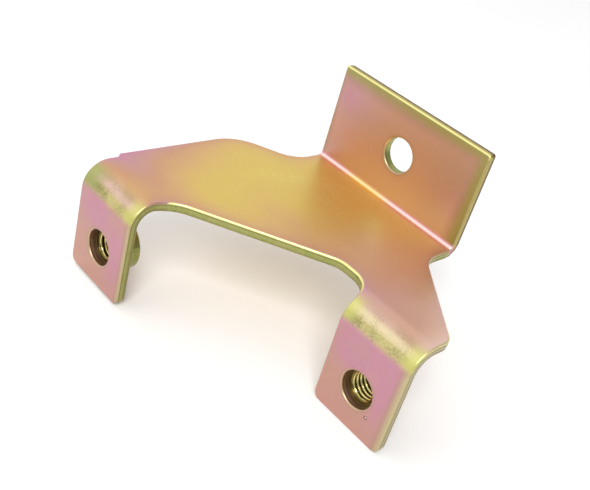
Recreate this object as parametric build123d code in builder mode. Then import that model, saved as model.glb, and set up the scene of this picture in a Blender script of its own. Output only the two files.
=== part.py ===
"""Stamped metal bracket: one folded sheet with a bolt flange and two ears, and a weld nut on each ear.

The origin is the centre of the flange hole on the flange's back face.
+X runs along the folds, +Y points out of the flange's back face and +Z is up.
"""
import os
from math import isclose, radians, tan

from build123d import *

# ---- sheet
sheet_thickness = 2.5
flange_bend_radius = 1.2      # inside radius of the fold at the flange
ear_bend_radius = 4.4         # inside radius of the two folds at the ears
edge_roll = 0.5               # rounding that a punch leaves on the side it enters

# ---- flange
flange_width = 50.3
flange_height = 27.2          # above the web's top face
flange_hole_height = 13.4     # above the web's top face
flange_hole_diameter = 9.2
flange_corner_radius = 0.8

# ---- ears, with their reach and offset measured from the flange hole
ear_width = 21.5
ear_hole_diameter = 9.2
ear_corner_radius = 2.0
left_ear_reach = 70.0
left_ear_offset = 28.7
left_ear_drop = 29.1          # below the web's top face
left_ear_hole_drop = 18.5
right_ear_reach = 43.8
right_ear_offset = 38.9
right_ear_drop = 29.8         # below the web's top face
right_ear_hole_drop = 19.0

# ---- plan outline of the web, with each reach measured from the flange's back face
neck_reach = 12.4             # where the shoulders leave the neck
neck_fillet = 9.0
left_shoulder_slope = 32.0
left_shoulder_radius = 12.3
left_arm_step = 1.3           # how far the web stands out past the left ear
left_arm_setback = 3.8        # from that step to the start of the left ear's fold
right_shoulder_slope = 39.2
right_shoulder_radius = 4.2
front_edge_setback = 3.3      # from the sloping front edge to the start of the left ear's fold
notch_setback = 1.7           # from the notch beside the right ear to the start of its fold
notch_length = 10.8           # from the sloping front edge to the right ear's inner side
left_inner_fillet = 10.6
notch_slope_fillet = 6.0
right_inner_fillet = 6.4

# ---- weld nuts
nut_diameter = 13.4
nut_height = 5.7
nut_edge_chamfer = 0.4
nut_bore_radius = 3.35        # minor radius of an M8 thread
nut_countersink = 0.5         # depth of the 45 degree countersink at both ends of the bore

# ---- places worked out from the sizes
web_top = -flange_hole_height
web_bottom = web_top - sheet_thickness
flange_top = web_top + flange_height
flange_side = flange_width / 2
left_hole_level = web_top - left_ear_hole_drop
right_hole_level = web_top - right_ear_hole_drop
ear_outer_bend = ear_bend_radius + sheet_thickness
left_ear_outer = -left_ear_offset - ear_width / 2
left_ear_inner = -left_ear_offset + ear_width / 2
right_ear_inner = right_ear_offset - ear_width / 2
right_ear_outer = right_ear_offset + ear_width / 2
web_left = left_ear_outer - left_arm_step
left_shoulder_reach = neck_reach - (flange_side + web_left) * tan(radians(left_shoulder_slope))
right_shoulder_reach = neck_reach + (right_ear_outer - flange_side) * tan(radians(right_shoulder_slope))
left_fold_reach = left_ear_reach - ear_outer_bend
right_fold_reach = right_ear_reach - ear_outer_bend
left_arm_reach = left_fold_reach - left_arm_setback
front_edge_reach = left_fold_reach - front_edge_setback
notch_reach = right_fold_reach - notch_setback
notch_start = right_ear_inner - notch_length
notch_middle = right_ear_inner - notch_length / 2
beyond = 5.0                  # how far a cutting outline runs past the sheet
close = 0.01                  # levels nearer than this count as the same

# ---- the front of the flange and of both ears, at the centre of their holes
facing_front = {"x_dir": (1, 0, 0), "z_dir": (0, -1, 0)}
flange_place = Plane((0, -sheet_thickness, 0), **facing_front)
left_ear_place = Plane((-left_ear_offset, -left_ear_reach, left_hole_level), **facing_front)
right_ear_place = Plane((right_ear_offset, -right_ear_reach, right_hole_level), **facing_front)


def round_corner(sketch, across, up, radius):
    """Round the corner of a flat outline that lies at these two coordinates."""
    fillet(sketch.vertices().sort_by_distance((across, up, 0))[0], radius)


def side_profile(ear_reach, ear_drop):
    """Side view of the folded sheet, in Y and Z: flange up, web level, ear down."""
    ear_back = sheet_thickness - ear_reach
    ear_bottom = web_top - ear_drop
    with BuildSketch() as profile:
        with BuildLine():
            Polyline(
                (0, flange_top),
                (0, web_bottom),
                (ear_back, web_bottom),
                (ear_back, ear_bottom),
                (-ear_reach, ear_bottom),
                (-ear_reach, web_top),
                (-sheet_thickness, web_top),
                (-sheet_thickness, flange_top),
                close=True,
            )
        make_face()
        round_corner(profile, 0, web_bottom, flange_bend_radius + sheet_thickness)
        round_corner(profile, -sheet_thickness, web_top, flange_bend_radius)
        round_corner(profile, -ear_reach, web_top, ear_outer_bend)
        round_corner(profile, ear_back, web_bottom, ear_bend_radius)
    return profile.sketch


def blank_outline():
    """Plan view of what the blanking die leaves of the sheet, in X and Y."""
    with BuildSketch() as outline:
        with BuildLine():
            Polyline(
                (-flange_side, beyond),
                (-flange_side, -neck_reach),
                (web_left, -left_shoulder_reach),
                (web_left, -left_arm_reach),
                (left_ear_outer, -left_arm_reach - left_arm_step),
                (left_ear_outer, -left_ear_reach - beyond),
                (left_ear_inner, -left_ear_reach - beyond),
                (left_ear_inner, -front_edge_reach),
                (notch_start, -notch_reach),
                (right_ear_inner, -notch_reach),
                (right_ear_inner, -right_ear_reach - beyond),
                (right_ear_outer, -right_ear_reach - beyond),
                (right_ear_outer, -right_shoulder_reach),
                (flange_side, -neck_reach),
                (flange_side, beyond),
                close=True,
            )
        make_face()
        round_corner(outline, -flange_side, -neck_reach, neck_fillet)
        round_corner(outline, flange_side, -neck_reach, neck_fillet)
        round_corner(outline, web_left, -left_shoulder_reach, left_shoulder_radius)
        round_corner(outline, right_ear_outer, -right_shoulder_reach, right_shoulder_radius)
        round_corner(outline, left_ear_inner, -front_edge_reach, left_inner_fillet)
        round_corner(outline, notch_start, -notch_reach, notch_slope_fillet)
        round_corner(outline, right_ear_inner, -notch_reach, right_inner_fillet)
    return outline.sketch


def corners_at(level):
    """The plate's square corners that run through its thickness at this height."""
    return bracket_plate.edges().filter_by(Axis.Y).filter_by_position(Axis.Z, level - close, level + close)


def flat_faces(axis, level):
    """The plate's flat faces that are square to an axis at this level."""
    square = bracket_plate.faces().filter_by(GeomType.PLANE).filter_by(axis)
    return square.filter_by_position(axis, level - close, level + close)


def fold_faces(radius):
    """The plate's curved faces that belong to a fold of this radius."""
    curved = bracket_plate.faces().filter_by(GeomType.CYLINDER)
    along = curved.filter_by(lambda face: face.axis_of_rotation.is_parallel(Axis.X))
    return along.filter_by(lambda face: isclose(face.radius, radius))


# ---- the folded sheet
with BuildPart() as bracket_plate:
    with BuildSketch(Plane.YZ.offset(web_left - beyond)):
        add(side_profile(left_ear_reach, left_ear_drop))
    extrude(amount=notch_middle - web_left + beyond)
    with BuildSketch(Plane.YZ.offset(notch_middle)):
        add(side_profile(right_ear_reach, right_ear_drop))
    extrude(amount=right_ear_outer + beyond - notch_middle)
    with BuildSketch(Plane.XY.offset(flange_top)):
        add(blank_outline())
    extrude(amount=-flange_height - max(left_ear_drop, right_ear_drop), mode=Mode.INTERSECT)
    fillet(corners_at(flange_top), flange_corner_radius)
    fillet(corners_at(web_top - left_ear_drop) + corners_at(web_top - right_ear_drop), ear_corner_radius)

    # the punch rolls the sheet's edge over, all the way around on the side that it enters
    struck_faces = (
        flat_faces(Axis.Z, web_top)
        + flat_faces(Axis.Y, -left_ear_reach)
        + flat_faces(Axis.Y, -right_ear_reach)
        + flat_faces(Axis.Y, -sheet_thickness)
        + fold_faces(ear_outer_bend)
        + fold_faces(flange_bend_radius)
    )
    struck_edges = struck_faces.edges()
    fillet([edge for edge in struck_edges if struck_edges.count(edge) == 1], edge_roll)

    for place, diameter in (
        (flange_place, flange_hole_diameter),
        (left_ear_place, ear_hole_diameter),
        (right_ear_place, ear_hole_diameter),
    ):
        with BuildSketch(place):
            Circle(diameter / 2)
        extrude(amount=-sheet_thickness, mode=Mode.SUBTRACT)
        fillet(bracket_plate.edges(Select.LAST).filter_by(GeomType.CIRCLE).sort_by(Axis.Y)[0], edge_roll)

os.makedirs("parts", exist_ok=True)
bracket_plate.part.label = "bracket_plate"
export_step(bracket_plate.part, "parts/bracket_plate.step")

# ---- the weld nuts, seated on the backs of the ears
for side, ear_place in (("left", left_ear_place), ("right", right_ear_place)):
    with BuildPart() as weld_nut:
        with BuildSketch(ear_place.offset(-sheet_thickness)):
            Circle(nut_diameter / 2)
        extrude(amount=-nut_height)
        chamfer(weld_nut.edges().group_by(Axis.Y)[-1], nut_edge_chamfer)
        with BuildSketch(ear_place.offset(-sheet_thickness)):
            Circle(nut_bore_radius)
        extrude(amount=-nut_height, mode=Mode.SUBTRACT)
        bore_rims = weld_nut.edges(Select.LAST).filter_by(GeomType.CIRCLE)
        chamfer(bore_rims, nut_countersink)
    weld_nut.part.label = f"weld_nut_{side}"
    export_step(weld_nut.part, f"parts/weld_nut_{side}.step")
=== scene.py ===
# %% [markdown]
# # A folded steel bracket with two weld nuts
# The object is one stamped sheet with a bolt flange and two ears, and a weld nut
# behind each ear. All of it is zinc plated and passivated yellow, which gives the
# rainbow of gold, pink and green. The frame gives each CAD solid in its place, in
# metres: the origin is the flange hole's centre on the flange's back face, X runs
# along the folds, Y points out of the flange's back and Z is up.

# %% The frame and its box
from math import asin, cos, pi, radians, sin, tan

import bmesh
import bpy
import numpy as np
from mathutils import Matrix, Vector
from mathutils.geometry import delaunay_2d_cdt


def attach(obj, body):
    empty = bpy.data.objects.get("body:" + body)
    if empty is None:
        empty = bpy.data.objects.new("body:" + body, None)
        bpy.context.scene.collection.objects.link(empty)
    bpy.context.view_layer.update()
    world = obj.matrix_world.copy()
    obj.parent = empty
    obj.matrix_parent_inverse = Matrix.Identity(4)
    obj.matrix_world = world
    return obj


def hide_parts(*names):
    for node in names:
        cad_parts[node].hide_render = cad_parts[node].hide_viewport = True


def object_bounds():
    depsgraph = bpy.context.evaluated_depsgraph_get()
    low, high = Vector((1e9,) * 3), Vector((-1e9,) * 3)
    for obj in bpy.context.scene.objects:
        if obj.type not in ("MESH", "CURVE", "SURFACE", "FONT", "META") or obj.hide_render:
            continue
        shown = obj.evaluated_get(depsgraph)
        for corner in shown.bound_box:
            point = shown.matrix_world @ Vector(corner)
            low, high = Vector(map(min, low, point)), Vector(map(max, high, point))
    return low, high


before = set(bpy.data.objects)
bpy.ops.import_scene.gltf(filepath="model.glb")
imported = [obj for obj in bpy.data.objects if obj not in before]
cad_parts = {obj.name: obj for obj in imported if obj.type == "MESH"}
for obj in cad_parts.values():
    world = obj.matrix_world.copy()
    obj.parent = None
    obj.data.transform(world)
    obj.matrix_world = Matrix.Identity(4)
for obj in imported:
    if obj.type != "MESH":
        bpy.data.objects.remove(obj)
scene = bpy.context.scene
MM = 0.001
cad_lowest, cad_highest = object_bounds()


def sides_of(lowest, highest):
    """A box's three sides in mm."""
    return [round((high - low) / MM, 2) for low, high in zip(lowest, highest)]


def add_to_scene(name, data):
    piece = bpy.data.objects.new(name, data)
    scene.collection.objects.link(piece)
    return piece


print("CAD box in mm:", sides_of(cad_lowest, cad_highest))

# %% [markdown]
# ## Where the eye is
# The camera stands above the ears, a hand's length in front, and is rolled a little
# to the left. A camera's matrix is made from the three directions it holds:
# right, up and backwards.

# %% The camera
IMAGE_WIDE = 590
SENSOR_WIDE = 36.0
EYE_FOCUS = 853.0  # focal length in pixels of the image
EYE_AT = Vector((116.048, -172.661, 90.519)) * MM
EYE_FORWARD = Vector((-0.54259, 0.65731, -0.52301)).normalized()
EYE_UP = Vector((-0.54280, 0.20082, 0.81550))
NEAREST, FURTHEST = 0.01, 10


def aim_camera(at, forward, up):
    right = forward.cross(up).normalized()
    upright = right.cross(forward)
    turn = Matrix((right, upright, -forward)).transposed()
    data = bpy.data.cameras.new("eye")
    data.sensor_width = SENSOR_WIDE
    data.lens = EYE_FOCUS * SENSOR_WIDE / IMAGE_WIDE
    data.clip_start = NEAREST
    data.clip_end = FURTHEST
    camera = add_to_scene("eye", data)
    camera.matrix_world = Matrix.Translation(at) @ turn.to_4x4()
    scene.camera = camera
    return camera


eye = aim_camera(EYE_AT, EYE_FORWARD, EYE_UP)
print("lens in mm:", round(eye.data.lens, 2))

# %% [markdown]
# ## Trees of nodes
# The light, the finishes and two of the shapes are all trees of nodes. One helper
# adds their nodes, and wires the inputs or sets them by name.

# %% A helper for trees of nodes
class Wiring:
    """Add nodes to a tree, with inputs wired or set by name (_ for a space)."""

    def __init__(self, tree):
        self.tree = tree

    def node(self, kind, settings=None, **wires):
        node = self.tree.nodes.new(kind)
        for label, value in (settings or {}).items():
            setattr(node, label, value)
        for label, value in wires.items():
            self.wire(value, node.inputs[label.replace("_", " ")])
        return node

    def wire(self, value, socket):
        if isinstance(value, bpy.types.NodeSocket):
            self.tree.links.new(value, socket)
        else:
            socket.default_value = value

    def maths(self, how, *values, clamp=False):
        node = self.node("ShaderNodeMath", {"operation": how, "use_clamp": clamp})
        for socket, value in zip(node.inputs, values):
            self.wire(value, socket)
        return node.outputs[0]

    def add(self, first, *others):
        for value in others:
            first = self.maths("ADD", first, value)
        return first

    def less(self, first, second):
        return self.maths("SUBTRACT", first, second)

    def times(self, first, second):
        return self.maths("MULTIPLY", first, second)

    def compare(self, how, first, second):
        """One number from two vectors, such as the distance between them."""
        node = self.node("ShaderNodeVectorMath", {"operation": how})
        self.wire(first, node.inputs[0])
        self.wire(second, node.inputs[1])
        return node.outputs["Value"]

    def parts_of(self, vector):
        return self.node("ShaderNodeSeparateXYZ", Vector=vector).outputs

    def ramp(self, value, start, stop, low=0.0, high=1.0):
        """A smooth step from low to high as the value goes from start to stop."""
        return self.node(
            "ShaderNodeMapRange", {"interpolation_type": "SMOOTHSTEP"},
            Value=value, From_Min=start, From_Max=stop, To_Min=low, To_Max=high,
        ).outputs["Result"]

    def band(self, value, rise, fall):
        """A smooth step up to 1 and another back down to 0."""
        return self.times(self.ramp(value, *rise), self.ramp(value, *fall))

    def mix(self, part, first, second):
        node = self.node("ShaderNodeMix", {"data_type": "RGBA"})
        for socket, value in zip((node.inputs[0], *node.inputs[6:8]), (part, first, second)):
            self.wire(value, socket)
        return node.outputs[2]

    def noise(self, vector, scale, detail, rough):
        return self.node(
            "ShaderNodeTexNoise", Vector=vector, Scale=scale, Detail=detail, Roughness=rough
        ).outputs[0]

    def scaled(self, vector, scale):
        return self.node("ShaderNodeMapping", Vector=vector, Scale=scale).outputs[0]

    def read(self, label):
        return self.node("ShaderNodeAttribute", {"attribute_name": label}).outputs

    def group(self, group, **wires):
        return self.node("ShaderNodeGroup", {"node_tree": group}, **wires).outputs


# %% Helpers for materials
def srgb(red, green, blue):
    """A colour given from 0 to 255, as light for the shader."""
    parts = [part / 255 for part in (red, green, blue)]
    return tuple(
        part / 12.92 if part <= 0.04 else ((part + 0.055) / 1.055) ** 2.4 for part in parts
    ) + (1.0,)


def new_material(name, metallic):
    material = bpy.data.materials.new(name)
    material.use_nodes = True
    shader = material.node_tree.nodes["Principled BSDF"]
    shader.inputs["Metallic"].default_value = metallic
    return material, Wiring(material.node_tree), shader


def node_group(name, given, made):
    """Start a shader group whose inputs and outputs have these names and kinds."""
    group = bpy.data.node_groups.new(name, "ShaderNodeTree")
    for way, sockets in (("INPUT", given), ("OUTPUT", made)):
        for label, kind in sockets.items():
            group.interface.new_socket(name=label, in_out=way, socket_type="NodeSocket" + kind)
    wiring = Wiring(group)
    inputs = wiring.node("NodeGroupInput").outputs
    return wiring, inputs, wiring.node("NodeGroupOutput").inputs


def bumped(wiring, shader, height, strength, deep):
    bump = wiring.node("ShaderNodeBump", Height=height, Strength=strength, Distance=deep * MM)
    wiring.wire(bump.outputs[0], shader.inputs["Normal"])


# %% [markdown]
# ## Floor and light
# Plated metal shows what stands around it, so a white table and a white tent with a
# soft gradient light the bracket. One large lamp in front on the right lights the
# rolled edges and draws the soft shadow.

# %% The floor
FLOOR_HALF = 1.5
FLOOR_WHITE = 0.95
FLOOR_ROUGHNESS = 0.8
FLOOR_SHINE = 0.1
FLOOR_GAP = 0.02  # mm under the bracket


def plain_floor():
    material, wiring, shader = new_material("white_table", 0.0)
    wiring.wire((FLOOR_WHITE, FLOOR_WHITE, FLOOR_WHITE, 1), shader.inputs["Base Color"])
    wiring.wire(FLOOR_ROUGHNESS, shader.inputs["Roughness"])
    wiring.wire(FLOOR_SHINE, shader.inputs["Specular IOR Level"])
    mesh = bpy.data.meshes.new("table")
    level = cad_lowest.z - FLOOR_GAP * MM
    ways = ((-1, -1), (1, -1), (1, 1), (-1, 1))
    corners = [(x * FLOOR_HALF, y * FLOOR_HALF, level) for x, y in ways]
    mesh.from_pydata(corners, [], [(0, 1, 2, 3)])
    mesh.materials.append(material)
    return add_to_scene("table", mesh)


plain_floor()

# %% The light
TENT_LIGHT = 1.0  # the tent's left side, which the bracket shows
RIGHT_SIDE = 0.5  # how bright its right side is
RIGHT_SPAN = (-0.4, 0.3)  # where it changes from left to right
LOW_DOWN = 0.7  # how bright it is by the table
LOW_SPAN = (0.0, 0.36)  # where it changes from low to high
SIDE_GLOW = 0.3  # how much brighter it is in front on the left
GLOW_SPAN = (0.6, 1.0)
GLOW_TOWARDS = (-0.54, -0.66, 0.52)
LAMP_WATTS = 16.0
LAMP_SIDE = 0.7
LAMP_AT = (0.68, -0.88, 1.15)
LAMP_TOWARDS = (0, -0.04, -0.02)


def tent():
    world = bpy.data.worlds.new("tent")
    world.use_nodes = True
    wiring = Wiring(world.node_tree)
    way = wiring.node("ShaderNodeTexCoord").outputs["Generated"]

    def towards(direction, span, low, high):
        return wiring.ramp(wiring.compare("DOT_PRODUCT", way, direction), *span, low, high)

    strength = wiring.maths(
        "MULTIPLY_ADD",
        towards((1, 0, 0), RIGHT_SPAN, TENT_LIGHT, RIGHT_SIDE),
        towards((0, 0, 1), LOW_SPAN, LOW_DOWN, 1.0),
        towards(GLOW_TOWARDS, GLOW_SPAN, 0.0, SIDE_GLOW),
    )
    background = world.node_tree.nodes["Background"]
    wiring.wire(strength, background.inputs["Strength"])
    wiring.wire((1, 1, 1, 1), background.inputs["Color"])
    return world


def softbox(at, towards, side, watts):
    data = bpy.data.lights.new("softbox", "AREA")
    data.shape = "SQUARE"
    data.size = side
    data.energy = watts
    lamp = add_to_scene("softbox", data)
    lamp.location = at
    lamp.rotation_euler = (Vector(towards) - Vector(at)).to_track_quat("-Z", "Y").to_euler()


scene.world = tent()
scene.view_settings.view_transform = "Standard"
softbox(LAMP_AT, LAMP_TOWARDS, LAMP_SIDE, LAMP_WATTS)
print("lit by a tent and one lamp of", LAMP_WATTS, "watts")

# %% [markdown]
# ## The yellow passivated finish
# The bath leaves a clear film thinner than a hundredth of a hair. Light bounces off
# both its sides, so its thickness shows as colour: gold where it is thin, then salmon,
# pink and magenta, and green where the bath has worked longest, along edges and in
# drips. One group turns the thickness, from 0 to 1, into that row of colours, broken
# up by clouds and fine mottling. Another gives the grain of rolled and plated steel.

# %% The film's colours
FILM = (
    (0.0, (242, 234, 180)),
    (0.12, (226, 198, 106)),
    (0.26, (220, 180, 122)),
    (0.42, (212, 162, 128)),
    (0.56, (206, 158, 152)),
    (0.70, (210, 145, 174)),
    (0.80, (192, 172, 150)),
    (0.90, (176, 170, 112)),
    (1.0, (140, 156, 74)),
)
CLOUD_SCALE = 0.11  # per mm
MOTTLE_SCALE = 0.9


def film_group():
    wiring, given, made = node_group(
        "passivated_film",
        {"Place": "Vector", "Thickness": "Float", "Clouds": "Float", "Mottle": "Float"},
        {"Colour": "Color"},
    )
    clouds = wiring.noise(given["Place"], CLOUD_SCALE, 3.0, 0.55)
    mottle = wiring.noise(given["Place"], MOTTLE_SCALE, 4.0, 0.65)
    shift = wiring.times(wiring.less(clouds, 0.5), given["Clouds"])
    speck = wiring.times(wiring.less(mottle, 0.5), given["Mottle"])
    film = wiring.maths("ADD", wiring.add(given["Thickness"], shift), speck, clamp=True)
    colours = wiring.node("ShaderNodeValToRGB", Fac=film)
    stops = colours.color_ramp.elements
    while len(stops) < len(FILM):
        stops.new(0.5)
    for stop, (place, colour) in zip(stops, FILM):
        stop.position = place
        stop.color = srgb(*colour)
    wiring.wire(colours.outputs[0], made["Colour"])
    return wiring.tree


def grain_group():
    wiring, given, made = node_group(
        "plated_grain",
        {"Place": "Vector", "Fine": "Float", "Broad": "Float"},
        {"Height": "Float", "Gloss": "Float"},
    )
    fine = wiring.noise(given["Place"], given["Fine"], 3.0, 0.6)
    broad = wiring.noise(given["Place"], given["Broad"], 2.0, 0.5)
    wiring.wire(wiring.add(fine, wiring.times(broad, 0.6)), made["Height"])
    wiring.wire(wiring.less(wiring.add(fine, broad), 1.0), made["Gloss"])
    return wiring.tree


passivated_film = film_group()
plated_grain = grain_group()


def film_colour(wiring, place, thickness, clouds, mottle):
    return wiring.group(
        passivated_film, Place=place, Thickness=thickness, Clouds=clouds, Mottle=mottle
    )["Colour"]


print("colours of the film:", len(FILM))

# %% [markdown]
# ### The sheet's finish
# The film's thickness is an attribute of the sheet, laid on with its shape below. The
# material adds what follows the edges and folds: the punched walls are greener and
# rougher, with fine lines that the punch has drawn, and the stretched skin round the
# ears' folds is finely speckled where the plating has crazed. It also paints light and
# shade: highlights along the folds, on some rolled edges and in a small dent, and shade
# on the walls and round the dent.

# %% The skin round the folds
# turn runs from 0 to 1 round an ear's fold, and the other distances are in mm
SPECKLE_DRAWN = (0.4, 1.4, 1.0)
OLIVE_FROM = (0.42, 0.66)  # where the fold's skin turns from rosy to olive
# a painted highlight: the bright line along each ear's fold
FOLD_HIGHLIGHT_CORE = ((0.36, 0.5), (0.68, 0.54))  # the bright line along the fold
RIM_GLOW = (5.0, 0.8)  # near the sheet's edge
LEFT_END_DARK = (-31.0, -37.0)
# the painted highlight along the flange's fold, on paler film: its colour to the sides and
# in the middle, and where along the flat blank it rises and falls
FOLD_HIGHLIGHT_BANDS = (
    ((232, 168, 186), (236, 190, 130), (1.5, 2.1), (2.9, 2.6)),
    ((228, 168, 140), (244, 206, 96), (2.8, 3.1), (4.8, 3.5)),
    ((250, 218, 216), (250, 226, 160), (2.1, 2.45), (3.3, 3.0)),
)
FOLD_MIDDLE = ((-17.0, -9.0), (5.0, -3.0))
FOLD_HIGHLIGHT_STRENGTH = 0.75


def stretched(wiring, place, across, turn, edge):
    """The skin of an ear's fold: pale, with green and pink speckles drawn out along it, and a
    painted highlight along its middle.
    """
    ramp, mix = wiring.ramp, wiring.mix
    speckle = wiring.noise(wiring.scaled(place, SPECKLE_DRAWN), 2.8, 5.0, 0.75)
    broad = wiring.noise(place, 0.14, 2.0, 0.5)
    tone = wiring.add(wiring.times(wiring.less(speckle, 0.5), 1.4), broad)
    olive = mix(ramp(tone, 0.25, 0.6), srgb(148, 146, 88), srgb(206, 196, 132))
    rosy = mix(ramp(tone, 0.3, 0.7), srgb(176, 152, 120), srgb(206, 176, 160))
    skin = mix(ramp(turn, *OLIVE_FROM), rosy, olive)
    # the painted highlight along the fold's middle, over the speckled skin
    highlight_core = wiring.band(turn, *FOLD_HIGHLIGHT_CORE)
    highlight_colour = mix(ramp(across, 0.0, -10.0), srgb(222, 208, 168), srgb(216, 184, 176))
    skin = mix(wiring.times(highlight_core, ramp(tone, 0.2, 0.6, 0.35, 0.9)), skin, highlight_colour)
    skin = mix(ramp(edge, *RIM_GLOW, 0.0, 0.75), skin, srgb(206, 210, 112))
    skin = mix(ramp(across, *LEFT_END_DARK, 0.0, 0.75), skin, srgb(146, 158, 96))
    return skin, speckle


def flange_fold_highlight(wiring, across, along, base):
    """The tight fold at the flange: a painted highlight on paler film, a white line with pink
    above it and yellow below it.
    """
    middle = wiring.band(across, *FOLD_MIDDLE)
    for sides, centre, rise, fall in FOLD_HIGHLIGHT_BANDS:
        colour = wiring.mix(middle, srgb(*sides), srgb(*centre))
        part = wiring.times(wiring.band(along, rise, fall), FOLD_HIGHLIGHT_STRENGTH)
        base = wiring.mix(part, base, colour)
    return base


# %% The small dent's painted shade and highlight
DENT_ACROSS, DENT_ALONG = 43.65, 64.23  # on the flat blank, under the right ear's hole
DENT_SHADE_RING = (0.6, 0.4)
DENT_HIGHLIGHT = (0.3, 0.15)


def dent_shade_and_highlight(wiring, place, base):
    """The dent has a painted dark ring of shade and a painted bright highlight on its floor."""
    off = wiring.compare("DISTANCE", place, (DENT_ACROSS, DENT_ALONG, 0.0))
    base = wiring.mix(wiring.ramp(off, *DENT_SHADE_RING, 0.0, 0.7), base, srgb(110, 76, 76))
    return wiring.mix(wiring.ramp(off, *DENT_HIGHLIGHT), base, srgb(240, 214, 206))


# %% The punched walls
# depths under the sheet's struck side, in mm, and what mixes in there
WALL = ((0.35, 0.6), (2.49, 2.3))
DRAWN_THROUGH = (1.0, 1.0, 0.12)
LINES_IN_FILM = 0.14
WALL_CLOUDS = (0.1, 0.1)
# how far the walls' painted shade darkens them
WALL_SHADE_STRENGTH = 0.3
TORN_FROM = (2.0, 2.35)
# a painted line of shade just under the roll
ROLL_SHADE_LINE = ((0.5, 0.62), (0.95, 0.72))  # a darker line just under the roll


def wall_finish(wiring, place, depth, wall_shade, wall_film):
    """A wall's colour with its painted shade, its drawn lines, where it is torn, and a painted
    line of shade under the roll.
    """
    ramp, times, mix = wiring.ramp, wiring.times, wiring.mix
    drawn = wiring.noise(wiring.scaled(place, DRAWN_THROUGH), 3.5, 3.0, 0.6)
    lined = times(wiring.less(drawn, 0.5), LINES_IN_FILM)
    colour = film_colour(wiring, place, wiring.add(wall_film, lined), *WALL_CLOUDS)
    # painted shade darkens the wall
    colour = mix(times(wall_shade, WALL_SHADE_STRENGTH), colour, srgb(150, 132, 106))
    torn = ramp(wiring.add(depth, times(drawn, 0.5), times(wall_shade, 0.7)), *TORN_FROM)
    # the torn band is darker where the wall has more painted shade
    torn_shade = times(torn, wiring.maths("MULTIPLY_ADD", wall_shade, 0.75, 0.05))
    colour = mix(torn_shade, colour, srgb(92, 80, 62))
    # the painted line of shade under the roll
    roll_shade_line = times(wiring.band(depth, *ROLL_SHADE_LINE), 0.55)
    return mix(roll_shade_line, colour, srgb(92, 88, 46)), drawn, torn


# %% The sheet's material
SKIN_CLOUDS = (0.1, 0.09)
CRAZED = ((0.12, 0.45), (0.95, 0.75))
ROLL_WIDE, ROLL_DEEP = (0.5, 0.25), (0.62, 0.5)
SHEET_ROUGHNESS = 0.4
SHEET_BUMP = 0.5
SHEET_BUMP_DEEP = 0.03  # mm


def sheet_material():
    material, wiring, shader = new_material("yellow_zinc_sheet", 1.0)
    ramp, mix, times = wiring.ramp, wiring.mix, wiring.times
    place = wiring.read("blank")["Vector"]
    across, along, depth = wiring.parts_of(place)
    turn, edge, thickness, pale, veiled, wall_shade, wear_and_highlight, wall_film = (
        wiring.read(label)["Fac"]
        for label in ("ear_turn", "edge", "film", "pale", "veil", "wall_shade", "wear_and_highlight", "wall_film")
    )

    # the skin: the film under an olive veil, with stretched skin round the folds and painted
    # highlights along them
    film = film_colour(wiring, place, thickness, *SKIN_CLOUDS)
    patchy = wiring.noise(place, 0.5, 3.0, 0.6)
    veil = times(veiled, ramp(patchy, 0.15, 0.5, 0.75, 1.0))
    olive = mix(ramp(turn, 0.7, 1.0), srgb(158, 152, 92), srgb(190, 180, 138))
    veil_colour = mix(ramp(veiled, 0.5, 0.92), srgb(166, 136, 118), olive)
    base = mix(pale, film, srgb(252, 224, 204))
    base = mix(veil, base, veil_colour)
    crazed = wiring.band(turn, *CRAZED)
    fold_skin, speckle = stretched(wiring, place, across, turn, edge)
    base = mix(times(crazed, 0.9), base, fold_skin)
    # the flange's fold gets a painted highlight, and the dent a painted ring of shade and a
    # painted highlight
    base = dent_shade_and_highlight(wiring, place, flange_fold_highlight(wiring, across, along, base))

    # the roll gets a painted highlight on its worn, paler film, and the walls show the punch's
    # lines, a torn band and painted shade
    roll = times(ramp(edge, *ROLL_WIDE), ramp(depth, *ROLL_DEEP))
    # painted highlight on the roll, on worn, paler film
    base = mix(times(roll, wear_and_highlight), base, srgb(246, 240, 160))
    wall = wiring.band(depth, *WALL)
    wall_colour, drawn, torn = wall_finish(wiring, place, depth, wall_shade, wall_film)
    wiring.wire(mix(wall, base, wall_colour), shader.inputs["Base Color"])

    grain = wiring.group(plated_grain, Place=place, Fine=2.2, Broad=0.25)
    rougher = wiring.maths("MULTIPLY_ADD", torn, 0.1, SHEET_ROUGHNESS)
    wiring.wire(wiring.add(times(grain["Gloss"], 0.12), rougher), shader.inputs["Roughness"])
    marks = wiring.add(times(drawn, wall), times(speckle, crazed))
    height = wiring.maths("MULTIPLY_ADD", grain["Height"], 0.25, times(marks, 0.9))
    bumped(wiring, shader, height, SHEET_BUMP, SHEET_BUMP_DEEP)
    return material


plated_sheet = sheet_material()
print("nodes in the sheet's material:", len(plated_sheet.node_tree.nodes))

# %% [markdown]
# ### The nuts' finish
# The nuts had the same bath, under a darker, greener film. The thread's crests are painted
# bright, a painted highlight partly on bright tapped metal, and its roots painted dark as
# painted shade, so the crests show as thin lines.

# %% The nuts' material
BORE = (4.3, 3.9)  # radii in mm over which the collar gives way to the bore
CREST_TO_ROOT = (3.42, 3.62)
COLLAR_FILM = 0.94
NUT_CLOUDS = (0.12, 0.12)
TURNING_MARKS = (0.05, 1.0, 1.0)
NUT_ROUGHNESS = 0.17
NUT_BUMP = 0.4
NUT_BUMP_DEEP = 0.02  # mm


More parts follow.
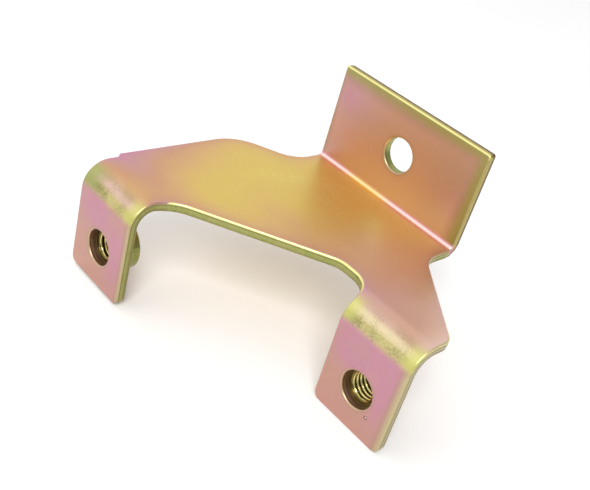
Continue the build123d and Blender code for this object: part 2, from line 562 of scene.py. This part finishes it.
def nut_material():
    material, wiring, shader = new_material("yellow_zinc_nut", 1.0)
    ramp, mix = wiring.ramp, wiring.mix
    place = wiring.read("turned")["Vector"]
    radius = wiring.parts_of(place)["Z"]
    bore = ramp(radius, *BORE)
    thickness = wiring.add(wiring.times(bore, -0.04), COLLAR_FILM)
    film = film_colour(wiring, place, thickness, *NUT_CLOUDS)
    # painted highlight on the crests and painted shade in the roots
    thread = mix(ramp(radius, *CREST_TO_ROOT), srgb(228, 216, 142), srgb(118, 104, 56))
    collar = mix(0.35, film, srgb(96, 98, 50))
    wiring.wire(mix(bore, collar, thread), shader.inputs["Base Color"])
    marks = wiring.noise(wiring.scaled(place, TURNING_MARKS), 6.0, 2.0, 0.5)
    wiring.wire(wiring.add(wiring.times(marks, 0.1), NUT_ROUGHNESS), shader.inputs["Roughness"])
    bumped(wiring, shader, marks, NUT_BUMP, NUT_BUMP_DEEP)
    return material


plated_nut = nut_material()
print("nodes in the nuts' material:", len(plated_nut.node_tree.nodes))

# %% [markdown]
# ## Shapes that follow a rule
# Two shapes follow a rule: a sheet that is folded and a thread that is tapped. Each is
# a Geometry Nodes tree with its sizes as named inputs. The helper below starts such a
# tree and closes it, and keeps by name where each point was, for the finish. What a
# tree makes is kept as a plain mesh, welded, with its faces turned outwards.

# %% A helper for Geometry Nodes
WELD_DISTANCE = 0.0002  # mm


class ShapeTree(Wiring):
    """A Geometry Nodes tree whose sizes are inputs by name."""

    def __init__(self, name, sizes, material):
        super().__init__(bpy.data.node_groups.new(name, "GeometryNodeTree"))
        self.tree.is_modifier = True
        self.sizes, self.material = sizes, material
        socket = self.tree.interface.new_socket
        socket(name="Blank", in_out="INPUT", socket_type="NodeSocketGeometry")
        for label in sizes:
            socket(name=label, in_out="INPUT", socket_type="NodeSocketFloat")
        socket(name="Piece", in_out="OUTPUT", socket_type="NodeSocketGeometry")
        self.given = self.node("NodeGroupInput").outputs

    def point(self, x, y, z):
        return self.node("ShaderNodeCombineXYZ", X=x, Y=y, Z=z).outputs[0]

    def close(self, geometry, label, own, place):
        """Keep each point's own place by name, move it in metres, and coat the piece."""
        keep = self.node("GeometryNodeStoreNamedAttribute", {"data_type": "FLOAT_VECTOR"})
        self.wire(geometry, keep.inputs["Geometry"])
        self.wire(label, keep.inputs["Name"])
        self.wire(own, keep.inputs["Value"])
        metres = self.point(*(self.times(part, self.given["Unit"]) for part in place))
        moved = self.node("GeometryNodeSetPosition", Geometry=keep.outputs[0], Position=metres)
        real = self.node("GeometryNodeRealizeInstances", Geometry=moved.outputs[0])
        coated = self.node(
            "GeometryNodeSetMaterial", Geometry=real.outputs[0], Material=self.material
        )
        self.wire(coated.outputs[0], self.node("NodeGroupOutput").inputs[0])


def made_by(thing):
    """What an object's modifiers make of it, as a plain mesh."""
    ready = thing.evaluated_get(bpy.context.evaluated_depsgraph_get())
    return bpy.data.meshes.new_from_object(ready)


def run_tree(shape, name, blank):
    """Give the tree its sizes and its blank, and keep what it makes as a plain mesh."""
    holder = add_to_scene(name + "_tree", blank)
    modifier = holder.modifiers.new("tree", "NODES")
    modifier.node_group = shape.tree
    for item in shape.tree.interface.items_tree:
        if item.in_out == "INPUT" and item.name in shape.sizes:
            modifier[item.identifier] = shape.sizes[item.name]
    mesh = made_by(holder)
    bpy.data.objects.remove(holder)
    mesh.name = name
    return mesh


def settle(mesh, sharp_angle):
    """Weld the mesh, turn its faces outwards and shade it smooth up to an angle."""
    solid = bmesh.new()
    solid.from_mesh(mesh)
    bmesh.ops.remove_doubles(solid, verts=solid.verts, dist=WELD_DISTANCE * MM)
    bmesh.ops.recalc_face_normals(solid, faces=solid.faces)
    if solid.calc_volume(signed=True) < 0:
        bmesh.ops.reverse_faces(solid, faces=solid.faces)
    open_edges = sum(not edge.is_manifold for edge in solid.edges)
    volume = solid.calc_volume() / MM**3
    solid.to_mesh(mesh)
    solid.free()
    mesh.shade_smooth()
    mesh.set_sharp_from_angle(angle=sharp_angle)
    print(mesh.name, "faces", len(mesh.polygons), "open edges", open_edges,
          "mm3", round(volume, 1))


def weighted(piece):
    """Keep the flats flat where smooth shading meets a rolled edge."""
    modifier = piece.modifiers.new("weights", "WEIGHTED_NORMAL")
    modifier.keep_sharp = True
    mesh = made_by(piece)
    piece.modifiers.remove(modifier)
    piece.data = mesh


# %% [markdown]
# ## The folded sheet
# The real bracket is blanked and pierced flat and then folded, and the same order
# makes it here. The blank's outline is drawn flat and filled with small even
# triangles, so that colour can change from point to point. A Geometry Nodes tree
# folds it: a point's distance along the sheet says which fold it has passed and how
# far round it is. The flat blank is also the finish's map, which follows the folds.

# %% Sizes of the sheet, in mm
SHEET = 2.5
WEB_TOP = -13.4  # the level of the web's top face
HOLE_RADIUS = 4.6
FLANGE_SIDE = 25.15  # half the flange's width
FLANGE_HEIGHT = 27.2  # this and the next are above the web's top face
FLANGE_HOLE_HEIGHT = 13.4
FLANGE_RADIUS = 1.2  # inside radius of the flange's fold
EAR_RADIUS = 6.9  # outside radius of the ears' folds
EAR_CORNER = 2.0
LEFT_EAR = (-39.45, -17.95)  # from side to side
RIGHT_EAR = (28.15, 49.65)
LEFT_HOLE, RIGHT_HOLE = -28.7, 38.9
LEFT_REACH, RIGHT_REACH = 70.0, 43.8  # from the flange's back to each ear's front
LEFT_DROP, RIGHT_DROP = 29.1, 29.8  # below the web's top face
LEFT_HOLE_DROP, RIGHT_HOLE_DROP = 18.5, 19.0
WEB_LEFT = -40.75
NECK, NECK_FILLET = 12.4, 9.0
NOTCH = 35.2
NOTCH_MIDDLE = 22.75  # the sheet left of this folds with the left ear

# where the folds and the ends are on the flat blank, measured from the flange's back
FLANGE_FOLD = SHEET + FLANGE_RADIUS
LEFT_FOLD = LEFT_REACH - EAR_RADIUS
RIGHT_FOLD = RIGHT_REACH - EAR_RADIUS
FLANGE_ARC = FLANGE_RADIUS * pi / 2
EAR_ARC = EAR_RADIUS * pi / 2
FLANGE_END = FLANGE_FOLD - FLANGE_ARC - (FLANGE_HEIGHT - FLANGE_RADIUS)
LEFT_END = LEFT_FOLD + EAR_ARC + (LEFT_DROP - EAR_RADIUS)
RIGHT_END = RIGHT_FOLD + EAR_ARC + (RIGHT_DROP - EAR_RADIUS)

# the outline's corners on the flat blank: across, along, and the corner's radius
OUTLINE = (
    (-FLANGE_SIDE, FLANGE_END, 0.56),
    (-FLANGE_SIDE, NECK, NECK_FILLET),
    (WEB_LEFT, 22.148, 12.3),
    (WEB_LEFT, 59.3, 0),
    (LEFT_EAR[0], 60.6, 0),
    (LEFT_EAR[0], LEFT_END, EAR_CORNER),
    (LEFT_EAR[1], LEFT_END, EAR_CORNER),
    (LEFT_EAR[1], 59.8, 10.6),
    (17.35, NOTCH, 6.0),
    (RIGHT_EAR[0], NOTCH, 6.4),
    (RIGHT_EAR[0], RIGHT_END, EAR_CORNER),
    (RIGHT_EAR[1], RIGHT_END, EAR_CORNER),
    (RIGHT_EAR[1], 32.381, 4.2),
    (FLANGE_SIDE, NECK, NECK_FILLET),
    (FLANGE_SIDE, FLANGE_END, 0.8),
)
HOLES = (
    (0.0, FLANGE_FOLD - FLANGE_ARC - (FLANGE_HOLE_HEIGHT - FLANGE_RADIUS)),
    (LEFT_HOLE, LEFT_FOLD + EAR_ARC + LEFT_HOLE_DROP - EAR_RADIUS),
    (RIGHT_HOLE, RIGHT_FOLD + EAR_ARC + RIGHT_HOLE_DROP - EAR_RADIUS),
)
print("flat blank in mm:", round(LEFT_END - FLANGE_END, 1), "x", RIGHT_EAR[1] - WEB_LEFT)

# %% The blank's outline with its corners rounded
OUTLINE_STEP = 0.7
ARC_STEP = radians(6)
FEWEST_STEPS = 3
HOLE_SIDES = 72


def fold_start(across):
    return LEFT_FOLD if across < NOTCH_MIDDLE else RIGHT_FOLD


def laid_flat(across, reach):
    """Where a point of the plan is on the flat blank: the plan foreshortens a fold."""
    fold = fold_start(across)
    past = reach - fold
    if 0 < past < EAR_RADIUS:
        return Vector((across, fold + EAR_RADIUS * asin(past / EAR_RADIUS)))
    return Vector((across, reach))


def rounded(corners):
    """Follow the corners as one closed line, with an arc of its radius at each."""
    line = []
    for number, (across, along, radius) in enumerate(corners):
        here = Vector((across, along))
        back = (Vector(corners[number - 1][:2]) - here).normalized()
        on = (Vector(corners[(number + 1) % len(corners)][:2]) - here).normalized()
        if radius == 0:
            line.append(laid_flat(*here))
            continue
        opening = back.angle(on)
        centre = here + (back + on).normalized() * radius / sin(opening / 2)
        start = here + back * radius / tan(opening / 2) - centre
        stop = here + on * radius / tan(opening / 2) - centre
        steps = max(FEWEST_STEPS, round((pi - opening) / ARC_STEP))
        for step in range(steps + 1):
            part = step / steps
            turn = (start * (1 - part) + stop * part).normalized() * radius
            line.append(laid_flat(*(centre + turn)))
    return line


def evenly(line, longest):
    """Add points on a closed line's straight runs, so that no step is much too long."""
    points = []
    for here, after in zip(line, line[1:] + line[:1]):
        pieces = max(1, round((after - here).length / longest))
        points += [here.lerp(after, piece / pieces) for piece in range(pieces)]
    return points


def circle(across, along, radius, sides):
    turns = [2 * pi * side / sides for side in range(sides)]
    return [(across + radius * cos(turn), along + radius * sin(turn)) for turn in turns]


rim_line = evenly(rounded(OUTLINE), OUTLINE_STEP)
hole_lines = [
    [Vector(point) for point in circle(*hole, HOLE_RADIUS, HOLE_SIDES)] for hole in HOLES
]
print("points round the blank:", len(rim_line))

# %% [markdown]
# ### What the punch leaves on an edge
# A punched edge isn't square. On the side the punch enters, the sheet is drawn down
# in a small roll. Under it comes a band burnished by the die, and then a rougher,
# torn band, which leans in a little and ends in a worn burr. Each of these is a
# pair: how far in from the outline, and how deep.

# %% The section of a punched edge
EDGE_ROLL = 0.5
ROLL_STEPS = 6
SHARPEST_MITRE = 0.5
TORN_RIM = (
    (0.0, 1.05), (0.0, 1.6), (0.05, 1.85), (0.09, 2.15), (0.1, 2.36), (0.16, 2.46), (0.28, SHEET),
)
TORN_HOLE = ((0.0, 1.2), (0.0, 1.9), (0.02, 2.1), (0.03, 2.4), (0.08, SHEET))


def punched_section(torn):
    arc = [step * pi / 2 / ROLL_STEPS for step in range(ROLL_STEPS + 1)]
    roll = [(EDGE_ROLL * (1 - sin(turn)), EDGE_ROLL * (1 - cos(turn))) for turn in arc]
    return roll + list(torn)


def moved_in(line, distance, inwards):
    """Move a closed line sideways, with a mitre at each corner."""
    moved = []
    for number, here in enumerate(line):
        back = (here - line[number - 1]).normalized()
        on = (line[(number + 1) % len(line)] - here).normalized()
        side = Vector((-(back + on).y, (back + on).x)).normalized() * inwards
        mitre = max(SHARPEST_MITRE, abs(side.dot(Vector((-on.y, on.x)))))
        moved.append(here + side * distance / mitre)
    return moved


# %% Even triangles between the edges
GRID = 0.85  # mm from point to point
GRID_LEFT, GRID_RIGHT = -41, 50  # a little past the blank on both sides
GRID_CLEAR = 0.35  # part of a step that the grid keeps from every edge
DENT_RADIUS, DENT_DEPTH = 0.55, 0.14
DENT_RINGS, DENT_SIDES = 5, 14
DENT_CLEAR = 1.4  # times its radius, where the grid makes way for its rings
SAME_POINT = 1e-6
FLANGE_FOLD_ROWS = 9
EAR_FOLD_ROWS = 20


def distance_to(points, line):
    """How far each point is from a closed line."""
    ends = np.array([tuple(p) for p in line])
    after = np.roll(ends, -1, axis=0)
    run = after - ends
    nearest = np.full(len(points), np.inf)
    for start, along in zip(ends, run):
        part = np.clip(((points - start) @ along) / (along @ along), 0, 1)
        off = points - start - part[:, None] * along
        nearest = np.minimum(nearest, np.linalg.norm(off, axis=1))
    return nearest


def inside(points, line):
    """Which points lie inside a closed line, by counting crossings."""
    ends = np.array([tuple(p) for p in line])
    within = np.zeros(len(points), bool)
    for (x0, y0), (x1, y1) in zip(ends, np.roll(ends, -1, axis=0)):
        if y0 != y1:
            spans = (y0 > points[:, 1]) != (y1 > points[:, 1])
            within ^= spans & (points[:, 0] < (x1 - x0) * (points[:, 1] - y0) / (y1 - y0) + x0)
    return within


def rows_between(start, stop, longest):
    count = max(1, round((stop - start) / longest))
    return list(np.linspace(start, stop, count, endpoint=False))


def grid_points():
    """Rows of points over both strips, closer together round the folds."""
    points = []
    for left, right, fold, end in (
        (GRID_LEFT, NOTCH_MIDDLE, LEFT_FOLD, LEFT_END),
        (NOTCH_MIDDLE, GRID_RIGHT, RIGHT_FOLD, RIGHT_END),
    ):
        rows = rows_between(FLANGE_END, FLANGE_FOLD - FLANGE_ARC, GRID)
        rows += rows_between(FLANGE_FOLD - FLANGE_ARC, FLANGE_FOLD, FLANGE_ARC / FLANGE_FOLD_ROWS)
        rows += rows_between(FLANGE_FOLD, fold, GRID)
        rows += rows_between(fold, fold + EAR_ARC, EAR_ARC / EAR_FOLD_ROWS)
        rows += rows_between(fold + EAR_ARC, end, GRID)
        columns = rows_between(left, right, GRID)
        for number, row in enumerate(rows):
            shift = GRID / 2 if number % 2 else 0
            points += [(column + shift, row) for column in columns]
    return np.array(points)


def dent_points():
    """Rings of points for the small dent under the right ear's hole."""
    points = [(DENT_ACROSS, DENT_ALONG)]
    for ring in range(1, DENT_RINGS + 1):
        points += circle(DENT_ACROSS, DENT_ALONG, DENT_RADIUS * ring / DENT_RINGS, DENT_SIDES)
    return np.array(points)


def clear_of(points, line):
    return distance_to(points, line) > GRID * GRID_CLEAR


def filled(outer, holes):
    """Fill an outline with triangles: its points first, then the holes', then the grid's."""
    loops = [outer] + holes
    spread = grid_points()
    off_dent = np.hypot(spread[:, 0] - DENT_ACROSS, spread[:, 1] - DENT_ALONG)
    spread = np.vstack([spread[off_dent > DENT_RADIUS * DENT_CLEAR], dent_points()])
    keep = inside(spread, outer) & clear_of(spread, outer)
    for hole in holes:
        keep &= ~inside(spread, hole) & clear_of(spread, hole)
    points = [Vector(p) for loop in loops for p in loop] + [Vector(p) for p in spread[keep]]
    faces, start = [], 0
    for loop in loops:
        faces.append(list(range(start, start + len(loop))))
        start += len(loop)
    edges = [(loop[number - 1], loop[number]) for loop in faces for number in range(len(loop))]
    corners, _, triangles, sources, _, _ = delaunay_2d_cdt(points, edges, [], 0, SAME_POINT)
    corners, triangles = np.array([tuple(p) for p in corners]), np.array(triangles)
    middles = corners[triangles].mean(axis=1)
    good = inside(middles, outer)
    for hole in holes:
        good &= ~inside(middles, hole)
    assert [own[:1] for own in sources] == [[number] for number in range(len(points))]
    return points, [tuple(t) for t in triangles[good]]


# %% [markdown]
# ### How thick the film is from place to place
# The bath drains down the part and dries from its edges in, so the film is thick near
# the edges and in a few soft patches. Each patch is a place on the flat blank, a
# spread and an amount, and they add up at every point of the mesh.

# %% The film's thickness over the blank
WEB_FILM, EAR_FILM, FLANGE_FILM = 0.12, 0.53, 0.50
EAR_FILM_FROM = 0.35  # part of the way round an ear's fold
DRYING_FILM, DRYING_SPREAD = 0.30, 2.4
THICKEST_SKIN = 0.71
# across, along, half spread across, half spread along, amount
PATCHES = (
    (-38.0, 50.0, 10.0, 16.0, 0.24),  # the left arm, towards its outer side
    (-30.0, 60.0, 16.0, 8.0, 0.26),  # before the left fold
    (36.0, 35.0, 13.0, 13.0, 0.40),  # the right arm
    (49.0, 38.0, 6.0, 9.0, 0.12),  # its outer side
    (20.0, 26.0, 12.0, 10.0, 0.14),  # the web beside it
    (2.0, 38.0, 14.0, 7.0, 0.12),  # the web's middle, towards the front
    (-31.0, 77.0, 6.0, 5.0, 0.2),  # left ear, under the fold
    (-21.5, 84.0, 3.0, 9.0, 0.18),  # left ear, inner side
    (35.5, 52.5, 5.0, 4.0, 0.22),  # right ear, under the fold
    (45.5, 57.0, 2.6, 8.0, 0.18),  # right ear, outer side
    (-20.0, -17.0, 7.0, 6.0, 0.13),  # flange, upper left
    (21.0, -6.0, 6.0, 7.0, 0.10),  # flange, lower right
)


def smooth(values, start, stop):
    part = np.clip((values - start) / (stop - start), 0, 1)
    return part * part * (3 - 2 * part)


def region_parts(flat):
    """How far each point is on an ear, on the flange, and round an ear's fold."""
    fold = np.where(flat[:, 0] < NOTCH_MIDDLE, LEFT_FOLD, RIGHT_FOLD)
    turn = np.clip((flat[:, 1] - fold) / EAR_ARC, 0, 1)
    on_flange = smooth(-flat[:, 1], -FLANGE_FOLD, -FLANGE_FOLD + FLANGE_ARC)
    return smooth(turn, EAR_FILM_FROM, 1.0), on_flange, turn


def painted(patches, flat):
    amount = np.zeros(len(flat))
    for x, y, wide, long, most in patches:
        amount += most * np.exp(-((flat[:, 0] - x) / wide) ** 2 - ((flat[:, 1] - y) / long) ** 2)
    return amount


def film_thickness(flat, to_rim, on_ear, on_flange):
    on_web = (1 - on_ear) * (1 - on_flange)
    film = WEB_FILM * on_web + EAR_FILM * on_ear + FLANGE_FILM * on_flange
    film += DRYING_FILM * on_web * np.exp(-to_rim / DRYING_SPREAD)
    return np.clip(film + painted(PATCHES, flat), 0, THICKEST_SKIN)


# %% Where the skin is paler
# placed as the patches above are
PALE = (
    (37.0, 28.0, 11.0, 12.0, 0.36),  # the right arm
    (50.5, 36.0, 5.0, 12.0, 0.55),  # its outer side
    (20.0, 22.0, 12.0, 16.0, 0.28),  # the web's right side
    (8.0, 0.0, 22.0, 5.0, 0.22),  # the flange, above its fold
    (22.0, -3.0, 5.0, 5.0, 0.2),  # the flange, lower right
)


# %% The olive veil along some edges
EAR_VEIL = 0.34
# on the flange: everywhere, more towards its top, and more towards its right side
FLANGE_VEIL = 0.05
UPPER_VEIL, UPPER_FROM, UPPER_TO = 0.25, 4.0, 16.0
RIGHT_VEIL, RIGHT_FROM, RIGHT_TO = 0.2, 4.0, 20.0


def veil_amount(flat, to_hole, on_ear, on_flange):
    """Where the bath has run together along an edge it leaves an olive veil on the film."""
    across, along = flat[:, 0], flat[:, 1]
    # where it is, how far off its edge, its spread and its strength
    strips = (
        (on_flange, along - FLANGE_END, 4.6, 0.95),  # the flange's top
        (on_flange, FLANGE_SIDE - across, 4.6, 0.95),  # the flange's right side
        (on_flange, FLANGE_SIDE + across, 1.3, 0.8),  # the flange's left side
        (on_ear, RIGHT_EAR[1] - across, 2.6, 0.9),  # the right ear's right side
        (on_ear, LEFT_EAR[1] - across, 1.8, 0.8),  # the left ear's right side
        (1.0, to_hole, 0.9, 0.7),
    )
    upper = UPPER_VEIL * smooth(-along, UPPER_FROM, UPPER_TO)
    right = RIGHT_VEIL * smooth(across, RIGHT_FROM, RIGHT_TO)
    veil = EAR_VEIL * on_ear + on_flange * (FLANGE_VEIL + upper + right)
    for part, distance, spread, amount in strips:
        veil = np.maximum(veil, part * amount * np.exp(-(distance / spread) ** 2))
    return veil


# %% The punched walls' painted shade and the worn roll's painted highlight
# pairs are for the web and ears, and for the flange
RIM_FILM, HOLE_FILM = (0.94, 0.12), (0.55, 0.95)
# painted shade on the walls of the rim and of the holes
RIM_SHADE, HOLE_SHADE = (0.4, 1.0), (0.8, 0.0)
# painted highlight on the worn roll of the rim, of the holes and of the flange's top
RIM_WEAR_HIGHLIGHT, HOLE_WEAR_HIGHLIGHT, FLANGE_TOP_HIGHLIGHT = 0.05, 0.15, 0.8
FRONT_ACROSS, FRONT_ALONG = (-17.0, 28.0), (30.0, 66.0)  # the web's front edge
# the web's front edge has little painted shade and the fullest painted highlight on its roll
FRONT_SHADE, FRONT_HIGHLIGHT = 0.15, 1.0
FLANGE_TOP_BAND = (1.2, 0.4)  # mm from the flange's top
RIGHT_ARM, RIGHT_ARM_FILM = 40.0, 0.86  # right of here is the arm's outer side
# the right arm's shoulder gets a strong painted highlight on its roll
SHOULDER, SHOULDER_HIGHLIGHT = (26.0, 42.0), 0.7


def between(values, span):
    return (values > span[0]) & (values < span[1])


def wall_parts(flat, to_rim, to_hole, on_flange):
    """For a punched wall: its film, how much painted shade it has, and how much painted highlight
    its worn roll has.
    """
    across, along = flat[:, 0], flat[:, 1]

    def shared(pair):
        return pair[0] + (pair[1] - pair[0]) * on_flange

    on_rim = to_rim < to_hole
    on_front = between(across, FRONT_ACROSS) & between(along, FRONT_ALONG)
    on_right = on_rim & (across > RIGHT_ARM)
    film = np.where(on_rim, shared(RIM_FILM), shared(HOLE_FILM))
    film[on_right] = RIGHT_ARM_FILM
    # how much painted shade each wall has
    wall_shade = np.where(on_rim, np.where(on_front, FRONT_SHADE, shared(RIM_SHADE)), shared(HOLE_SHADE))
    # the painted highlight on the worn roll, strongest along the flange's top
    top_highlight = FLANGE_TOP_HIGHLIGHT * smooth(along - FLANGE_END, *FLANGE_TOP_BAND)
    wear_and_highlight = np.where(on_rim, np.where(on_front, FRONT_HIGHLIGHT, RIM_WEAR_HIGHLIGHT + top_highlight), HOLE_WEAR_HIGHLIGHT)
    wear_and_highlight[on_right & between(along, SHOULDER)] = SHOULDER_HIGHLIGHT
    return film, wall_shade, wear_and_highlight


# %% The blank as one closed mesh
def turn_of(line):
    """1 for a line that runs one way round, and -1 for the other way."""
    area = sum(a.x * b.y - b.x * a.y for a, b in zip(line, line[1:] + line[:1]))
    return 1 if area > 0 else -1


def punched_walls(loops):
    """Rings of points down each wall, with faces between them, and its first and last ring."""
    corners, faces, ends = [], [], []
    for line, section, inwards in loops:
        rings = []
        for distance, depth in section:
            rings.append(len(corners))
            corners += [(p.x, p.y, depth) for p in moved_in(line, distance, inwards)]
        for upper, lower in zip(rings, rings[1:]):
            for number in range(len(line)):
                after = (number + 1) % len(line)
                faces.append((upper + number, upper + after, lower + after, lower + number))
        ends.append([range(ring, ring + len(line)) for ring in (rings[0], rings[-1])])
    return corners, faces, ends


def fill_side(corners, faces, borders, depth, dent_depth):
    """Fill one side of the blank between the borders that the walls left there."""
    lines = [[Vector(corners[number][:2]) for number in border] for border in borders]
    points, triangles = filled(lines[0], lines[1:])
    numbers = [number for border in borders for number in border]
    extra = points[len(numbers):]
    numbers += range(len(corners), len(corners) + len(extra))
    for p in extra:
        off = min(1.0, (p - Vector((DENT_ACROSS, DENT_ALONG))).length / DENT_RADIUS)
        corners.append((p.x, p.y, depth + dent_depth * (1 - off * off) ** 2))
    faces += [tuple(numbers[corner] for corner in face) for face in triangles]


def lay_on_finish(mesh, flat):
    """Keep at every point what the material needs to know about it."""
    to_rim = distance_to(flat, rim_line)
    to_hole = np.min([distance_to(flat, line) for line in hole_lines], axis=0)
    on_ear, on_flange, turn = region_parts(flat)
    wall_film, wall_shade, wear_and_highlight = wall_parts(flat, to_rim, to_hole, on_flange)
    for label, values in (
        ("edge", np.minimum(to_rim, to_hole)),
        ("ear_turn", turn),
        ("film", film_thickness(flat, to_rim, on_ear, on_flange)),
        ("veil", veil_amount(flat, to_hole, on_ear, on_flange)),
        ("pale", painted(PALE, flat) * (1 - on_ear)),
        ("wall_film", wall_film),
        ("wall_shade", wall_shade),
        ("wear_and_highlight", wear_and_highlight),
    ):
        layer = mesh.attributes.new(label, "FLOAT", "POINT")
        layer.data.foreach_set("value", values.astype(np.float32))


def blank_mesh():
    loops = [(rim_line, punched_section(TORN_RIM), turn_of(rim_line))]
    loops += [(line, punched_section(TORN_HOLE), -1) for line in hole_lines]
    corners, faces, ends = punched_walls(loops)
    struck, torn = zip(*ends)
    fill_side(corners, faces, struck, 0.0, DENT_DEPTH)
    fill_side(corners, faces, torn, SHEET, 0.0)
    mesh = bpy.data.meshes.new("flat_blank")
    mesh.from_pydata(corners, [], faces)
    lay_on_finish(mesh, np.array(corners)[:, :2])
    return mesh


# %% The tree that folds the blank
FOLDING = {
    "Web level": WEB_TOP,
    "Flange fold": FLANGE_FOLD,
    "Flange radius": FLANGE_RADIUS,
    "Left fold": LEFT_FOLD,
    "Right fold": RIGHT_FOLD,
    "Between ears": NOTCH_MIDDLE,
    "Ear radius": EAR_RADIUS,
    "Unit": MM,
}


def round_fold(shape, along, radius, off_centre):
    """How far in and how far up or down a fold carries a point that is this far past it."""
    past = shape.maths("MAXIMUM", along, 0.0)
    turn = shape.maths("MINIMUM", shape.maths("DIVIDE", past, radius), pi / 2)
    beyond = shape.less(past, shape.times(turn, radius))
    inwards = shape.times(off_centre, shape.maths("SINE", turn))
    away = shape.times(off_centre, shape.less(1.0, shape.maths("COSINE", turn)))
    return inwards, shape.add(away, beyond)


def folding_tree(material):
    shape = ShapeTree("fold_the_blank", FOLDING, material)
    given, add, less, maths = shape.given, shape.add, shape.less, shape.maths
    flat = shape.node("GeometryNodeInputPosition").outputs[0]
    across, along, depth = shape.parts_of(flat)

    # past the flange's fold: first round it, then straight up
    tight = given["Flange radius"]
    y_flange, z_flange = round_fold(
        shape, less(given["Flange fold"], along), tight, add(tight, depth)
    )

    # past an ear's fold: first round it, then straight down
    is_right = maths("GREATER_THAN", across, given["Between ears"])
    step = less(given["Right fold"], given["Left fold"])
    fold = add(given["Left fold"], shape.times(is_right, step))
    wide = given["Ear radius"]
    y_ear, z_ear = round_fold(shape, less(along, fold), wide, less(wide, depth))

    held = maths("MINIMUM", maths("MAXIMUM", along, given["Flange fold"]), fold)
    y = less(less(y_flange, held), y_ear)
    z = less(add(less(given["Web level"], depth), z_flange), z_ear)
    shape.close(given["Blank"], "blank", flat, (across, y, z))
    return shape


SHARP_SHEET = radians(40)


def fold_sheet():
    mesh = run_tree(folding_tree(plated_sheet), "folded_sheet", blank_mesh())
    settle(mesh, SHARP_SHEET)
    piece = add_to_scene("folded_sheet", mesh)
    weighted(piece)
    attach(piece, "root")
    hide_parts("bracket_plate")


fold_sheet()

# %% [markdown]
# ## The threaded weld nuts
# Each nut is a turned collar with an M8 thread tapped through it. Geometry Nodes make
# it from a grid of points, whose rows climb one pitch in each turn round the bore, and
# take their radius from the thread's section. Rows that would run out of the nut are
# held at its faces, on the rims of the countersinks. A few more go round the collar's
# outside, and the last meets the first, so that the skin is closed.

# %% Sizes of the nuts
# the hole's X, the ear's front in Y, and the hole's level
EARS = {
    "left": (LEFT_HOLE, -LEFT_REACH, WEB_TOP - LEFT_HOLE_DROP),
    "right": (RIGHT_HOLE, -RIGHT_REACH, WEB_TOP - RIGHT_HOLE_DROP),
}
NUT = {
    "Collar radius": 6.7,
    "Height": 5.7,
    "Edge chamfer": 0.4,
    "Crest radius": 3.35,
    "Root radius": 4.02,
    "Pitch": 1.25,
    "Countersink": 0.5,
    "Across": 0.0,
    "Seat": 0.0,
    "Level": 0.0,
    "Unit": MM,
}
NUT_SIDES = 96
ROWS_PER_PITCH = 16
ROOT_FLAT, CREST_FLAT = 0.05, 0.95  # parts of the way from root to crest
SAME_ROW = 0.1


# %% The tree that turns and taps a nut
def thread_radius(shape, row):
    """The thread's section: from crest to root and back once in each pitch's rows."""
    phase = shape.maths("FRACT", shape.maths("DIVIDE", row, ROWS_PER_PITCH))
    ridge = shape.times(shape.maths("ABSOLUTE", shape.less(phase, 0.5)), 2.0)
    root, crest = shape.given["Root radius"], shape.given["Crest radius"]
    return shape.ramp(ridge, ROOT_FLAT, CREST_FLAT, root, crest)


def nut_tree(sizes):
    shape = ShapeTree("turned_and_tapped", sizes, plated_nut)
    given, add, less, times, maths = shape.given, shape.add, shape.less, shape.times, shape.maths
    height, pitch = given["Height"], given["Pitch"]
    edge, collar = given["Edge chamfer"], given["Collar radius"]
    rim = add(given["Crest radius"], given["Countersink"])
    outline = (
        (rim, height),
        (less(collar, edge), height),
        (collar, less(height, edge)),
        (collar, edge),
        (less(collar, edge), 0.0),
        (rim, 0.0),
    )

    # rows along the thread, and then the rows round the collar
    rows_high = times(maths("DIVIDE", height, pitch), ROWS_PER_PITCH)
    thread_rows = maths("CEIL", add(rows_high, ROWS_PER_PITCH))
    rows = add(thread_rows, len(outline))
    grid = shape.node("GeometryNodeMeshGrid", Vertices_X=NUT_SIDES + 1, Vertices_Y=rows)
    index = shape.node("GeometryNodeInputIndex").outputs[0]
    column = maths("FLOOR", maths("DIVIDE", add(index, 0.5), rows))
    row = less(index, times(column, rows))
    turn = maths("DIVIDE", column, NUT_SIDES)

    # how far along the nut each row is, and how far out
    steps = add(maths("DIVIDE", less(row, ROWS_PER_PITCH), ROWS_PER_PITCH), turn)
    depth = maths("MINIMUM", maths("MAXIMUM", times(steps, pitch), 0.0), height)
    to_face = maths("MINIMUM", depth, less(height, depth))
    cut = maths("MAXIMUM", thread_radius(shape, row), less(rim, to_face))
    radius = maths("MINIMUM", cut, add(rim, to_face))

    # the rows round the collar take their places from the outline
    for number, (outline_radius, outline_depth) in enumerate(outline):
        here = maths("COMPARE", less(row, thread_rows), number, SAME_ROW)
        radius = add(times(radius, less(1.0, here)), times(outline_radius, here))
        depth = add(times(depth, less(1.0, here)), times(outline_depth, here))

    # turned from Z to X as it climbs along Y, the thread is right-handed
    angle = times(turn, -2 * pi)
    x = add(given["Across"], times(radius, maths("COSINE", angle)))
    y = add(given["Seat"], depth)
    z = add(given["Level"], times(radius, maths("SINE", angle)))
    shape.close(grid.outputs["Mesh"], "turned", shape.point(x, depth, radius), (x, y, z))
    return shape


# %% Both nuts in their places
SHARP_NUT = radians(28)
for side, (hole_x, ear_front, level) in EARS.items():
    sizes = {**NUT, "Across": hole_x, "Seat": ear_front + SHEET, "Level": level}
    mesh = run_tree(nut_tree(sizes), "threaded_nut_" + side, bpy.data.meshes.new("no_blank"))
    settle(mesh, SHARP_NUT)
    nut = add_to_scene("threaded_nut_" + side, mesh)
    weighted(nut)
    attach(nut, "root")
    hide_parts("weld_nut_" + side)
